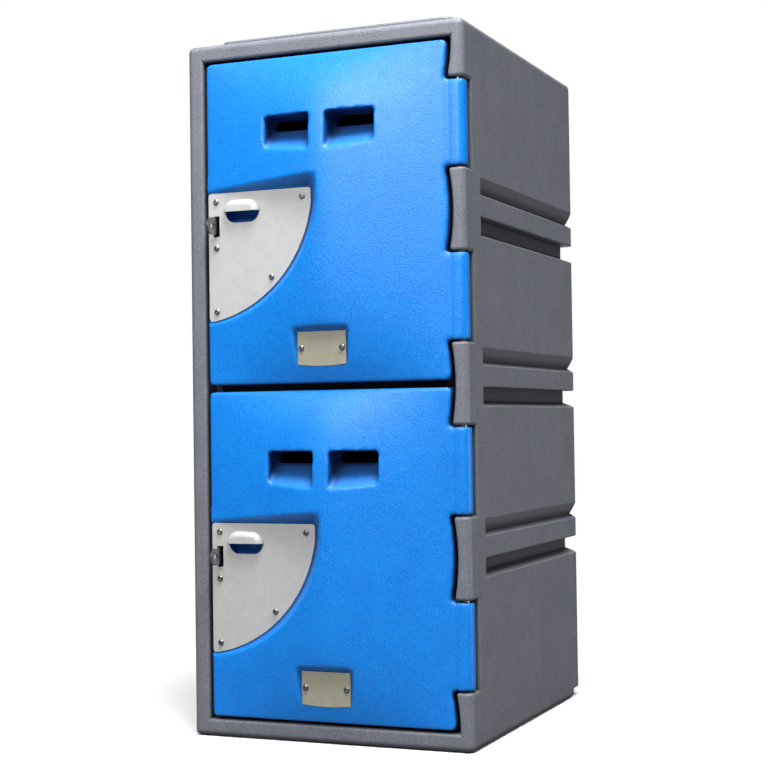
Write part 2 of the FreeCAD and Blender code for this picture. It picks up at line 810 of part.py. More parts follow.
def build_number_plate(name, leaf):
    body = new_body(f"number_plate_{name}")
    outline = new_sketch(body, "outline", "XZ_Plane", "number_seat")
    draw(outline, number_outline(leaf))
    pad(body, "sheet", outline, "number_thick")
    for number, (x, z) in enumerate(NUMBER_SCREWS):
        cylinder(body, f"hole_{number}", (x, "number_seat + past", f"{leaf} + {z}"),
                 "screw_radius + hole_clearance", "number_thick + 2 * past", TO_FRONT, cut=True)
    return body


# Screws and the brass inserts that they go into

LOCK_SCREWS = (("screw_edge", "screw_upper"),
               ("screw_edge", "screw_middle"),
               ("screw_edge", "screw_lower"),
               ("screw_far", "screw_upper"),
               ("screw_arc_x", "screw_arc_z"))
NUMBER_SCREWS = (("number_x - number_screw_spacing / 2", "number_z"),
                 ("number_x + number_screw_spacing / 2", "number_z"))


def build_screws(label, points, face):
    """Button-head screws whose heads sit on a face, one for each point of x and z."""
    screws = []
    for number, (x, z) in enumerate(points):
        screw = new_body(f"{label}_{number}")
        cylinder(screw, "shank", (x, f"{face} + screw_length", z), "screw_radius", "screw_length", TO_FRONT)
        head = cylinder(screw, "head", (x, face, z), "screw_head_radius", "screw_head_height", TO_FRONT)
        crown = value(f"{face} - screw_head_height")
        edge = edges_where(head, lambda points: level(points, "y", crown))
        fillet(screw, "dome", head, edge, "screw_head_round")
        hexagon(screw, "socket", (x, f"{face} - screw_head_height + screw_socket_depth", z),
                "screw_socket", "screw_socket_depth + past", cut=True)
        screws.append(screw)
    return gather(label, screws)


def build_inserts(label, points, seat):
    inserts = []
    for number, (x, z) in enumerate(points):
        insert = new_body(f"{label}_{number}")
        start = (x, f"{seat} + insert_length", z)
        cylinder(insert, "brass", start, "insert_radius", "insert_length", TO_FRONT)
        cylinder(insert, "thread", start, "screw_radius + rod_in_body", "insert_length", TO_FRONT, cut=True)
        inserts.append(insert)
    return gather(label, inserts)


# Door leaf: a hollow moulding with a crowned front

def leaf_outline(leaf):
    high = f"{leaf} + leaf_height"
    first = (f"{leaf} + first_knuckle", f"{leaf} + first_knuckle + knuckle_length")
    second = (f"{leaf} + second_knuckle", f"{leaf} + second_knuckle + knuckle_length")
    between = f"(({second[0]}) - ({first[1]})) / 2"
    end = scallop("knuckle_inset")
    corners = [("leaf_left", leaf), ("leaf_waist", leaf, end, "left")]
    corners += [("leaf_edge", first[0]), ("web_edge", first[0]), ("web_edge", first[1]),
                ("leaf_edge", first[1], scallop(between), "left"),
                ("leaf_waist", f"{first[1]} + {between}", scallop(between), "left")]
    corners += [("leaf_edge", second[0]), ("web_edge", second[0]), ("web_edge", second[1]),
                ("leaf_edge", second[1], end, "left"),
                ("leaf_waist", high), ("leaf_left", high)]
    return corners


CROWN_ROWS = 19
CROWN_OVERHANG = 1.08


def crown_solid(label, leaf, inward):
    """Everything behind the crowned front surface, moved inward by a wall or by nothing.

    The bulge is greatest half way up, falls off towards both ends as a power of the
    height, and falls off towards both sides along a hyperbola with a soft ridge.
    """
    low_x, high_x = value("leaf_left"), value("right - barrel")
    low_z, high_z = value(leaf), value(f"{leaf} + leaf_height")
    ridge = value("crown_ridge")

    def side_share(across):
        return 1 - (math.hypot(across, ridge) - ridge) / (math.hypot(1, ridge) - ridge)

    def surface_point(across, up):
        share = side_share(across) * (1 - abs(up) ** value("crown_power"))
        x = (low_x + high_x) / 2 + across * (high_x - low_x) / 2
        z = (low_z + high_z) / 2 + up * (high_z - low_z) / 2
        return Vector(x, value("front") - value("crown") * share + value(inward), z)

    steps = [CROWN_OVERHANG * (2 * number / (CROWN_ROWS - 1) - 1) for number in range(CROWN_ROWS)]
    surface = Part.BSplineSurface()
    surface.interpolate([[surface_point(across, up) for up in steps] for across in steps])
    made = doc.addObject("Part::Feature", label)
    made.Shape = surface.toShape().extrude(Vector(0, value("crown + 2 * door_thick"), 0))
    made.Label = label
    return made


def vent_floor(leaf, y):
    """Height of a vent's sloped floor at a given depth."""
    return f"{leaf} + vent_sill + (({y}) - (front - vent_face)) * tan(vent_slope)"


def leaf_cutters(prefix, leaf, grow):
    """Bodies that take the seats, slots and vents out of a leaf; grow thickens them all round."""
    lock = new_body(f"{prefix}_lock_seat")
    sketch = new_sketch(lock, "outline", "XZ_Plane", f"lock_seat + {grow}")
    draw(sketch, lock_outline(leaf, f"(recess_margin + {grow})", f"(lock_left + 2 + {grow})"))
    seat = pad(lock, "seat", sketch, "crown + 2 * door_wall", draft="recess_draft")
    top, right = value(f"{leaf} + lock_top"), value("leaf_left + lock_left + lock_width")
    fillet(lock, "corner", seat, edges_where(seat, lambda points: crosses_depth(points)
                                             and points[-1].x > right and points[-1].z > top),
           "lock_recess_corner")

    number = new_body(f"{prefix}_number_seat")
    sketch = new_sketch(number, "outline", "XZ_Plane", f"number_seat + {grow}")
    draw(sketch, number_outline(leaf, f"(recess_margin + {grow})"))
    seat = pad(number, "seat", sketch, "crown + 2 * door_wall", draft="recess_draft")
    middle, half = value("number_x"), value("number_width / 2")
    fillet(number, "corners", seat, edges_where(seat, lambda points: crosses_depth(points)
                                                and abs(points[-1].x - middle) > half),
           "number_recess_corner")

    bodies = [number, lock]
    front_y = "front - crown - 3 * past"
    back_y = f"front + vent_back + {grow}"
    starts = (("left", "number_x - vent_gap / 2 - vent_width"), ("right", "number_x + vent_gap / 2"))
    for side, start in starts:
        vent = new_body(f"{prefix}_vent_{side}")
        sketch = new_sketch(vent, "profile", "YZ_Plane", f"{start} - {grow}")
        drop = f"{grow} / cos(vent_slope)"
        draw(sketch, [(front_y, f"{vent_floor(leaf, front_y)} - {drop}"),
                      (back_y, f"{vent_floor(leaf, back_y)} - {drop}"),
                      (back_y, f"{leaf} + vent_top + {grow}"),
                      (front_y, f"{leaf} + vent_top + {grow}")])
        scoop = pad(vent, "recess", sketch, f"vent_width + 2 * {grow}")
        fillet(vent, "corners", scoop, edges_where(scoop, crosses_depth), "vent_corner")
        block(vent, "louvre", (f"{start} + vent_slot_inset - {grow}", "front + vent_back - past",
                               f"{vent_floor(leaf, 'front + vent_back')} - {grow}"),
              (f"{start} + vent_width - vent_slot_inset + {grow}", "leaf_back + past",
               f"{leaf} + vent_top - vent_slot_inset + {grow}"))
        bodies.append(vent)

    slot = new_body(f"{prefix}_staple_slot")
    slot_x, slot_z = "leaf_left + staple_x + slot_offset", f"{leaf} + staple_z"
    width, height = "(slot_width / 2 + slot_margin)", "(slot_height / 2 + slot_margin)"
    block(slot, "slot", (f"{slot_x} - {width} - {grow}", "front - past", f"{slot_z} - {height} - {grow}"),
          (f"{slot_x} + {width} + {grow}", "leaf_back + past", f"{slot_z} + {height} + {grow}"))
    bodies.append(slot)

    pull = new_body(f"{prefix}_finger_pocket")
    sketch = new_sketch(pull, "outline", "XZ_Plane", f"lock_seat + pocket_depth + {grow}")
    draw(sketch, stadium(leaf, f"(pocket_margin + {grow})"))
    pad(pull, "pocket", sketch, f"pocket_depth + {grow} + past")
    bodies.append(pull)

    holes = [(f"leaf_left + {x}", f"{leaf} + {z}", "lock_seat") for x, z in LOCK_SCREWS]
    holes += [(x, f"{leaf} + {z}", "number_seat") for x, z in NUMBER_SCREWS]
    boss = "boss_wall" if grow != "0" else "0"
    for count, (x, z, seat) in enumerate(holes):
        hole = new_body(f"{prefix}_insert_{count}")
        cylinder(hole, "hole", (x, f"{seat} + insert_length + {boss}", z), f"insert_radius + {boss}",
                 f"insert_length + {boss} + past", TO_FRONT)
        bodies.append(hole)
    return bodies


def crosses_depth(points):
    """True for an edge that runs from the front of a cutter towards its back."""
    return abs(points[0].y - points[1].y) > 1


def stadium(leaf, margin):
    x, z = "(leaf_left + pull_x)", f"({leaf} + pull_z)"
    radius = f"(pull_height / 2 + {margin})"
    straight = "(pull_width - pull_height) / 2"
    return [(f"{x} - {straight}", f"{z} - {radius}"),
            (f"{x} + {straight}", f"{z} - {radius}", radius, "left"),
            (f"{x} + {straight} + {radius}", z, radius, "left"),
            (f"{x} + {straight}", f"{z} + {radius}"),
            (f"{x} - {straight}", f"{z} + {radius}", radius, "left"),
            (f"{x} - {straight} - {radius}", z, radius, "left")]


def build_barrel(label, leaf, knuckle):
    body = new_body(label)
    low = f"{leaf} + {knuckle}"
    bar = block(body, "bar", ("right - barrel", "front", low),
                ("right", "front + barrel", f"{low} + knuckle_length"))
    right = value("right")
    outer = edges_where(bar, lambda points: along(points, "z") and near(points[0].x, right))
    fillet(body, "roll", bar, outer, "barrel_round")
    return body


def build_crease(label, leaf, knuckle):
    """The soft channel down the front between the leaf and a barrel."""
    body = new_body(label)
    cylinder(body, "channel", ("right - barrel", "front", f"{leaf} + {knuckle}"), "barrel_crease",
             "knuckle_length")
    return body


def build_door(name, leaf):
    blank = new_body(f"blank_{name}")
    sketch = new_sketch(blank, "outline", "XZ_Plane", "leaf_back")
    draw(sketch, leaf_outline(leaf))
    slab = pad(blank, "slab", sketch, "crown + door_thick + past")
    low, high = value(leaf), value(f"{leaf} + leaf_height")
    corners = edges_where(slab, lambda points: along(points, "y")
                          and (near(points[0].z, low) or near(points[0].z, high)))
    fillet(blank, "corners", slab, corners, "door_corner")
    skin = overlap(f"skin_{name}", crown_solid(f"crown_{name}", leaf, "0"), blank)
    for number, tool in enumerate(leaf_cutters(f"cut_{name}", leaf, "0")):
        skin = cut(f"skin_{name}_{number}", skin, tool)
    barrels = []
    for knuckle in KNUCKLES:
        crease = build_crease(f"crease_{name}_{knuckle}", leaf, knuckle)
        skin = cut(f"skin_{name}_{knuckle}", skin, crease)
        barrel = build_barrel(f"barrel_{name}_{knuckle}", leaf, knuckle)
        barrels.append(cut(f"creased_barrel_{name}_{knuckle}", barrel, crease))
    solid = join(f"solid_{name}", [skin] + barrels)

    core = new_body(f"core_{name}")
    block(core, "core", ("leaf_left + door_wall", "front - crown", f"{leaf} + door_wall"),
          ("leaf_edge - door_wall", "leaf_back - door_wall", f"{leaf} + leaf_height - door_wall"))
    inside = overlap(f"inside_{name}", crown_solid(f"inner_crown_{name}", leaf, "door_wall"), core)
    kept = join(f"kept_{name}", leaf_cutters(f"wall_{name}", leaf, "door_wall"))
    void = cut(f"void_{name}", inside, kept)

    pin = new_body(f"pin_hole_{name}")
    cylinder(pin, "hole", ("pin_x", "pin_y", f"{leaf} - past"), "rod_radius + rod_in_door",
             "leaf_height + 2 * past")
    opened = cut(f"opened_{name}", solid, pin)
    return cut(f"door_{name}", opened, void)


def build_all():
    nodes = [build_carcass(), build_shelf(), build_rod(), build_plug()]
    for name, leaf in LEAVES.items():
        lock_points = [(f"leaf_left + {x}", f"{leaf} + {z}") for x, z in LOCK_SCREWS]
        number_points = [(x, f"{leaf} + {z}") for x, z in NUMBER_SCREWS]
        nodes += [
            build_washers(name, leaf),
            build_staple(name, leaf),
            build_staple_bolts(name, leaf),
            build_staple_nuts(name, leaf),
            build_door(name, leaf),
            build_lock_plate(name, leaf),
            build_screws(f"lock_plate_screws_{name}", lock_points, "front"),
            build_inserts(f"lock_plate_inserts_{name}", lock_points, "lock_seat"),
            build_number_plate(name, leaf),
            build_screws(f"number_plate_screws_{name}", number_points, "front - number_forward"),
            build_inserts(f"number_plate_inserts_{name}", number_points, "number_seat"),
        ]
    return nodes


def check_and_write(nodes):
    doc.recompute()
    for item in doc.Objects:
        if "Invalid" in item.State or "Error" in item.State:
            raise RuntimeError(f"{item.Name} did not build: {item.State}")
    os.makedirs("parts", exist_ok=True)
    for node in nodes:
        shape = node.Shape
        if shape.isNull() or not shape.isValid():
            raise RuntimeError(f"{node.Label} has no valid shape")
        shape.exportStep(f"parts/{node.Label}.step")
        print(f"{node.Label}: {len(shape.Solids)} solids, {shape.Volume / 1000:.2f} ml")


if __name__ == "__main__":
    check_and_write(build_all())
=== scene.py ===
# %% [markdown]
# A two-tier storage locker of the kind that stands beside bicycle racks: a
# grey plastic body moulded in one piece, and two blue doors hung one above the
# other on one long steel rod. This lesson dresses the exact solids of the
# locker. First the frame is loaded: every node is a mesh in metres, already in
# its place, and the doors ride on bodies of their own so that they can swing.

import math

import bmesh
import bpy
from mathutils import Matrix, Vector


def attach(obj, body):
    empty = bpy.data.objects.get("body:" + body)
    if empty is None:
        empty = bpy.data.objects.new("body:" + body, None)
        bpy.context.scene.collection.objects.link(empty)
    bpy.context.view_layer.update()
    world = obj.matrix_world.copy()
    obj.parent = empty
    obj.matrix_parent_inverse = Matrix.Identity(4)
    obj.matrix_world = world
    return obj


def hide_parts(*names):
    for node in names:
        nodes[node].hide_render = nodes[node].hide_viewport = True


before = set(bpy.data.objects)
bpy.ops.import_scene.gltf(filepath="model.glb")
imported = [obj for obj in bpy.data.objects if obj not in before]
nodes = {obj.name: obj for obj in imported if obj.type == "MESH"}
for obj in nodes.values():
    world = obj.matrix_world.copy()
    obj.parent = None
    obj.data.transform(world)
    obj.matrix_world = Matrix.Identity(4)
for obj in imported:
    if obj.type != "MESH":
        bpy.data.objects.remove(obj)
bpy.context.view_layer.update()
MM = 0.001

# %% [markdown]
# Blender's materials are graphs of nodes. One small helper adds a node, sets
# its values and joins it to the nodes before it, so that each material below
# reads like a list. Colours are written as on the web, in sRGB, while Blender
# wants linear light: one function does that sum for all of them. Another turns
# noise into values that wander softly over a surface, for colour and sheen that
# aren't quite even.

# %% Helpers for materials


def linear(code):
    """The linear colour that Blender wants for a code such as '1E82E6', by sRGB's own curve."""
    shares = [int(code[i:i + 2], 16) / 255 for i in (0, 2, 4)]
    return [s / 12.92 if s <= 0.04045 else ((s + 0.055) / 1.055) ** 2.4 for s in shares] + [1]


def add_node(tree, kind, inputs=None, **settings):
    """Adds a node. An input is given a value, or another node's output to join it to."""
    node = tree.nodes.new(kind)
    for name, setting in settings.items():
        setattr(node, name, setting)
    for key, given in (inputs or {}).items():
        if isinstance(given, bpy.types.NodeSocket):
            tree.links.new(given, node.inputs[key])
        else:
            node.inputs[key].default_value = given
    return node


def new_material(name):
    """An empty material with its output, and the object's own coordinates in metres."""
    material = bpy.data.materials.new(name)
    material.use_nodes = True
    tree = material.node_tree
    tree.nodes.clear()
    output = add_node(tree, "ShaderNodeOutputMaterial")
    place = add_node(tree, "ShaderNodeTexCoord").outputs["Object"]
    return material, tree, output, place


def finish_material(tree, output, colour, roughness, normal, **constants):
    """Joins colour, roughness and normal to a Principled shader with constant values of its own."""
    shader = add_node(tree, "ShaderNodeBsdfPrincipled", {
        "Base Color": colour, "Roughness": roughness, "Normal": normal, **constants})
    tree.links.new(shader.outputs[0], output.inputs["Surface"])


# Nearly all values of a noise texture lie between these two.
NOISE_LOW, NOISE_HIGH = 0.25, 0.75


def wander(tree, place, size_mm, low, high, detail=3.0):
    """Values that wander softly from low to high, in lumps about size_mm across."""
    lumps = add_node(tree, "ShaderNodeTexNoise", {
        "Vector": place, "Scale": 1 / (size_mm * MM), "Detail": detail})
    return add_node(tree, "ShaderNodeMapRange", {
        "Value": lumps.outputs["Fac"], "From Min": NOISE_LOW, "From Max": NOISE_HIGH,
        "To Min": low, "To Max": high}).outputs["Result"]


print("helpers ready")

# %% [markdown]
# The body and the doors are rotationally moulded polyethylene. Powder melts
# onto the wall of a turning mould, so the skin has no weld or gate mark, a
# satin sheen and a fine pebble grain copied from the mould. Noise at several
# sizes gives that: broad mottling and a fine speckle in the colour, patches in
# the sheen, and pebbles as bump. The real pebbles are about 0.6 mm; here they
# are drawn three times as coarse, because finer ones would be lost between the
# render's pixels.
#
# In the vents, the plates' seats, the side grooves and narrow gaps the colour
# is painted deeper, as painted shade, and the skin is made rougher. It could be
# painted by hand. Here two Ambient Occlusion nodes find those places: one looks
# far, but only at the piece itself, and one looks near at all pieces.
# An attribute on the door's mesh marks the pocket behind each finger pull, and
# the material keeps most of that painted shade off it, so that it reads as lit.

# %% The moulded skin
MOTTLE_MM = 45
MOTTLE_LOW, MOTTLE_HIGH = 0.35, 0.65
SPECKLE_SHARE = 0.8
SPECKLE_DEPTH = 0.6
SHEEN_MM = 14
SHEEN_SPREAD = 0.04
RECESS_MM = 60
OPENNESS_SAMPLES = 6
DULL = 0.9
PLASTIC_IOR = 1.5
# The door's mesh attribute that keeps most painted shade off the finger pull's pocket.
SHADE_SPARED = "shade_spared"


def find_openness(tree, gap_mm):
    """1 where the surface lies open, and less in recesses and in gaps between pieces."""
    recess = add_node(tree, "ShaderNodeAmbientOcclusion", {
        "Distance": RECESS_MM * MM}, samples=OPENNESS_SAMPLES, only_local=True).outputs["AO"]
    gap = add_node(tree, "ShaderNodeAmbientOcclusion", {
        "Distance": gap_mm * MM}, samples=OPENNESS_SAMPLES).outputs["AO"]
    return add_node(tree, "ShaderNodeMath", {
        0: recess, 1: gap}, operation="MULTIPLY").outputs[0]


def moulded_plastic(name, light, dark, painted_shade_tone, roughness, pebble_mm=2.0, pebble_height_mm=0.14,
                    gap_mm=12, shut=0.4):
    """A plastic with mottled colour, uneven satin, pebbled skin and painted shade in recesses.

    Another piece within gap_mm paints shade on the skin, and shut is the openness that counts as
    none.
    """
    material, tree, output, place = new_material(name)
    mottle = wander(tree, place, MOTTLE_MM, MOTTLE_LOW, MOTTLE_HIGH, detail=4.0)
    speckle = wander(
        tree, place, SPECKLE_SHARE * pebble_mm, -SPECKLE_DEPTH, SPECKLE_DEPTH, detail=1.0)
    mixed = add_node(tree, "ShaderNodeMath", {0: mottle, 1: speckle}, use_clamp=True).outputs[0]
    open_colour = add_node(tree, "ShaderNodeMix", {
        "Factor": mixed, "A": linear(dark), "B": linear(light)},
        data_type="RGBA").outputs["Result"]
    # Painted shade: where the surface is shut in, the colour falls towards the shade tone and the
    # skin turns rougher.
    unshaded_share = add_node(tree, "ShaderNodeMapRange", {
        "Value": find_openness(tree, gap_mm), "From Min": shut,
        "From Max": 1.0}).outputs["Result"]
    shade_spared = add_node(tree, "ShaderNodeAttribute", attribute_name=SHADE_SPARED).outputs["Fac"]
    shade = add_node(tree, "ShaderNodeMath", {
        0: unshaded_share, 1: shade_spared}, operation="MAXIMUM").outputs[0]
    colour = add_node(tree, "ShaderNodeMix", {
        "Factor": shade, "A": linear(painted_shade_tone), "B": open_colour},
        data_type="RGBA").outputs["Result"]
    polish = wander(tree, place, SHEEN_MM, roughness - SHEEN_SPREAD, roughness + SHEEN_SPREAD)
    sheen = add_node(tree, "ShaderNodeMapRange", {
        "Value": shade, "To Min": DULL, "To Max": polish}).outputs["Result"]
    pebbles = add_node(tree, "ShaderNodeBump", {
        "Height": wander(tree, place, pebble_mm, 0.0, 1.0, detail=2.0),
        "Distance": pebble_height_mm * MM}).outputs["Normal"]
    finish_material(tree, output, colour, sheen, pebbles, IOR=PLASTIC_IOR)
    return material


print("skin with", MOTTLE_MM, "mm mottling, recesses found within", RECESS_MM, "mm")

# %% [markdown]
# The body's grey and the doors' blue are one skin in two colours. The blue has
# a little more gloss and shows broad highlights where the grey stays flat. The
# shelf is a flat moulding, the plug under the rod is moulded nylon and the
# washers are turned from acetal bar. Each could have a material of its own, but
# to the eye they differ from the skin of the body only in colour and in a finer
# and much flatter grain.

# %% Plastics
# The third tone of each plastic is the colour of its painted shade.
grey_polyethylene = moulded_plastic(
    "moulded_grey_polyethylene", light="7C7E88", dark="5D5F69", painted_shade_tone="46474D", roughness=0.50)
blue_polyethylene = moulded_plastic(
    "moulded_blue_polyethylene", light="008BEA", dark="006FD0", painted_shade_tone="002C60", roughness=0.36,
    gap_mm=14, shut=0.3)
shelf_polyethylene = moulded_plastic(
    "moulded_shelf_polyethylene", light="6E7077", dark="66686F", painted_shade_tone="1C1D20",
    roughness=0.45, pebble_mm=1.0, pebble_height_mm=0.02)
black_nylon = moulded_plastic(
    "moulded_black_nylon", light="2A2B2E", dark="1E1F22", painted_shade_tone="0C0C0D",
    roughness=0.45, pebble_mm=1.0, pebble_height_mm=0.02)
black_acetal = moulded_plastic(
    "turned_black_acetal", light="1E1E20", dark="161618", painted_shade_tone="0A0A0B",
    roughness=0.40, pebble_mm=1.0, pebble_height_mm=0.01)
print("plastics", grey_polyethylene.name, blue_polyethylene.name, shelf_polyethylene.name)

# %% [markdown]
# The lock plates are stainless sheet, bead-blasted: glass beads pit the surface
# evenly, so it turns the light into a wide pale glow with no streaks. The
# number plates are anodised aluminium, whose dyed oxide skin is matter still.
# Such scattering skins are drawn as plain diffuse light, with no metallic share
# or a small one. The screws and the finely brushed staples are bright stainless
# steel and wholly metallic. So are the ground stainless rod, the stainless bolts
# and nuts and the brass inserts. A metal keeps Blender's own IOR; its colour is
# what it reflects.
#
# The pits and the brushing, grinding or turning marks are a tenth of a
# millimetre or less on the real pieces. They are drawn as pits about ten times
# as coarse, because finer ones would be lost between the render's pixels.

# %% Metals
TONE_MM = 9
GLOSS_MM = 5


def metal(name, light, dark, roughness, pit_mm, pit_depth_mm, metallic=1.0):
    """A metal with slightly uneven tone and gloss and a skin of fine pits."""
    material, tree, output, place = new_material(name)
    colour = add_node(tree, "ShaderNodeMix", {
        "Factor": wander(tree, place, TONE_MM, 0.0, 1.0), "A": linear(dark),
        "B": linear(light)}, data_type="RGBA").outputs["Result"]
    gloss = wander(tree, place, GLOSS_MM, roughness - SHEEN_SPREAD, roughness + SHEEN_SPREAD)
    pits = add_node(tree, "ShaderNodeBump", {
        "Height": wander(tree, place, pit_mm, 0.0, 1.0, detail=1.0),
        "Distance": pit_depth_mm * MM}).outputs["Normal"]
    finish_material(tree, output, colour, gloss, pits, Metallic=metallic)
    return material


blasted_stainless = metal(
    "bead_blasted_stainless", light="C4C4C2", dark="BBBBB9", roughness=0.56,
    pit_mm=1.6, pit_depth_mm=0.02, metallic=0.25)
bright_stainless = metal(
    "bright_stainless", light="A6A7AA", dark="96979A", roughness=0.30,
    pit_mm=1.2, pit_depth_mm=0.005)
ground_stainless = metal(
    "ground_stainless", light="B9BCC0", dark="A6A9AE", roughness=0.32,
    pit_mm=1.5, pit_depth_mm=0.01)
turned_brass = metal(
    "turned_brass", light="C9A75A", dark="B8964B", roughness=0.30,
    pit_mm=1.0, pit_depth_mm=0.01)
anodised_aluminium = metal(
    "anodised_aluminium", light="9C9A87", dark="94927F", roughness=0.60,
    pit_mm=0.9, pit_depth_mm=0.01, metallic=0.0)
print("metals", blasted_stainless.name, bright_stainless.name, anodised_aluminium.name)

# %% [markdown]
# Each node is named for its piece, followed by its door's level where there are
# two of a kind. Every piece could be dressed by hand. One table by kind dresses
# them all, and a kind that it lacks stops the script, so that nothing stays
# bare.

# %% Finishes on the nodes
FINISHES = {
    "carcass": grey_polyethylene,
    "divider_shelf": shelf_polyethylene,
    "hinge_rod": ground_stainless,
    "hinge_rod_plug": black_nylon,
    "hinge_washers": black_acetal,
    "staple_bolts": ground_stainless,
    "staple_nuts": ground_stainless,
    "staple": bright_stainless,
    "door": blue_polyethylene,
    "lock_plate_screws": bright_stainless,
    "lock_plate_inserts": turned_brass,
    "lock_plate": blasted_stainless,
    "number_plate_screws": bright_stainless,
    "number_plate_inserts": turned_brass,
    "number_plate": anodised_aluminium,
}


def dress(piece, finish):
    """Gives a piece one finish in place of all that it has."""
    piece.data.materials.clear()
    piece.data.materials.append(finish)


for name, node in nodes.items():
    kind = name.removesuffix("_lower").removesuffix("_upper")
    dress(node, FINISHES[kind])
print("dressed", len(nodes), "nodes with", len(set(FINISHES.values())), "finishes")

# %% [markdown]
# A real door of this kind has no sharp edge: powder can't fill one, so every
# edge and every inside corner comes out of the mould with a radius of a few
# millimetres. A bevel would stumble over the many small triangles of an exact
# solid. Instead the door's outer skin is recast. The door is hollow, so its
# hidden inner shell is dropped first.

# %% Outer skins of the doors
LEVELS = ("lower", "upper")
WELD_MM = 0.01


def outer_skin(node):
    """A copy of a node's mesh, welded, with only the shell that reaches furthest forward."""
    shape = bmesh.new()
    shape.from_mesh(node.data)
    bmesh.ops.remove_doubles(shape, verts=shape.verts, dist=WELD_MM * MM)
    unseen = set(shape.verts)
    shells = []
    while unseen:
        shell, edge_of_shell = set(), [unseen.pop()]
        while edge_of_shell:
            vertex = edge_of_shell.pop()
            shell.add(vertex)
            beside = {edge.other_vert(vertex) for edge in vertex.link_edges} & unseen
            unseen -= beside
            edge_of_shell += beside
        shells.append(shell)
    front_shell = min(shells, key=lambda shell: min(vertex.co.y for vertex in shell))
    hidden = [vertex for shell in shells if shell is not front_shell for vertex in shell]
    bmesh.ops.delete(shape, geom=hidden, context="VERTS")
    skin = bpy.data.meshes.new(node.name + "_skin")
    shape.to_mesh(skin)
    shape.free()
    return skin, len(shells)


skins = {}
for level in LEVELS:
    skins[level], shell_count = outer_skin(nodes[f"door_{level}"])
    print(skins[level].name, "is one of", shell_count, "shells")

# %% [markdown]
# Modifiers and node trees work on a draft of a piece. The finished piece is a
# plain mesh, so that it looks the same in every program that opens it. Blender
# works out the draft's shape, a new object takes it over, and the draft goes.

# %% From a draft to a plain mesh


def plain_mesh(draft, name):
    """The draft as its modifiers leave it, as a new object with a plain mesh."""
    bpy.context.scene.collection.objects.link(draft)
    ready = draft.evaluated_get(bpy.context.evaluated_depsgraph_get())
    mesh = bpy.data.meshes.new_from_object(ready)
    bpy.data.objects.remove(draft)
    made = bpy.data.objects.new(name, mesh)
    mesh.name = name
    bpy.context.scene.collection.objects.link(made)
    return made


def shade_smooth(piece):
    """Lets light run over a piece's faces as over one round surface."""
    piece.data.polygons.foreach_set("use_smooth", [True] * len(piece.data.polygons))


print("plain mesh helpers ready")

# %% [markdown]
# The skin becomes an even net of small squares. Each round of smoothing then
# moves every point half way to the middle of its neighbours, so each edge and
# inside corner is pulled round a little further. A few rounds go over the whole
# door. The others leave out the plates' seats and the vents, because the mould
# is cut sharper where parts must fit.

# %% Doors with moulded radii
NET_MM = 2.1
HALF_WAY = 0.5
ROUNDS_ALL_OVER, ROUNDS_OUTSIDE = 2, 7
# The pocket keeps at least this share of its unshaded colour against the painted shade.
SPARED_SHARE = 0.8

# Left, right, lower and upper side of places on a door, in millimetres from its
# lower left corner. The pocket is the one behind the finger pull.
LOCK_PLATE_SEAT = (0, 160, 76, 270)
VENTS = (84, 248, 286, 352)
NUMBER_PLATE_SEAT = (128, 206, 16, 74)
POCKET = (22, 81, 205, 243)


def soften_outside_seats(door):
    """Smooths all but the seats and the vents further, and marks the pocket kept free of most
    painted shade.
    """
    shape = bmesh.new()
    shape.from_mesh(door.data)
    left = min(vertex.co.x for vertex in shape.verts)
    foot = min(vertex.co.z for vertex in shape.verts)

    def is_inside(vertex, *places):
        across, up = (vertex.co.x - left) / MM, (vertex.co.z - foot) / MM
        return any(start < across < end and low < up < high
                   for start, end, low, high in places)

    # The pocket is marked so that the material keeps most painted shade off it.
    shade_spared = shape.verts.layers.float.new(SHADE_SPARED)
    for vertex in shape.verts:
        vertex[shade_spared] = SPARED_SHARE if is_inside(vertex, POCKET) else 0.0
    outside = [vertex for vertex in shape.verts
               if not is_inside(vertex, LOCK_PLATE_SEAT, VENTS, NUMBER_PLATE_SEAT)]
    for _ in range(ROUNDS_OUTSIDE):
        bmesh.ops.smooth_vert(shape, verts=outside, factor=HALF_WAY,
                              use_axis_x=True, use_axis_y=True, use_axis_z=True)
    shape.to_mesh(door.data)
    shape.free()


for level in LEVELS:
    draft = bpy.data.objects.new(f"draft_door_{level}", skins[level])
    net = draft.modifiers.new("net", "REMESH")
    net.mode = "VOXEL"
    net.voxel_size = NET_MM * MM
    soft = draft.modifiers.new("soft", "SMOOTH")
    soft.factor = HALF_WAY
    soft.iterations = ROUNDS_ALL_OVER
    door = plain_mesh(draft, f"moulded_door_{level}")
    soften_outside_seats(door)
    shade_smooth(door)
    dress(door, blue_polyethylene)
    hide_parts(f"door_{level}")
    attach(door, f"{level}_door")
    print(door.name, "with", len(door.data.polygons), "faces")

# %% [markdown]
# Fourteen screws hold the plates: button heads with a hexagon socket. They are
# all alike, so one is described once, by a tree of Geometry Nodes with a named
# input for each of its sizes, and set on every screw place. The screw is a
# stack of rings from the shank's tip to the head's middle: each ring is the
# last face pushed up and scaled. An outline turned round its axis would do as
# well, but the rings leave a flat face in the head's middle, which the socket
# needs. The tip has no end face of its own; it is out of sight in its insert.

# %% Rings of a screw
SCREW_MM = {"Shank radius": 2.0, "Shank length": 11.0, "Tip": 0.4, "Head radius": 4.0,
            "Head height": 2.2, "Dome": 1.6, "Socket half width": 1.4, "Socket depth": 1.3}
SCREW_SIDES = 24
DOME_STEPS = 4
QUARTER_TURN = math.pi / 2
MIDDLE_SHARE = 0.7


def add_ring(tree, shape, top, rise, widen):
    """Pushes the top face up by rise and scales it by widen."""
    pushed = add_node(tree, "GeometryNodeExtrudeMesh", {
        "Mesh": shape, "Selection": top, "Offset Scale": rise, "Individual": False})
    scaled = add_node(tree, "GeometryNodeScaleElements", {
        "Geometry": pushed.outputs["Mesh"], "Selection": pushed.outputs["Top"],
        "Scale": widen})
    return scaled.outputs["Geometry"], pushed.outputs["Top"]


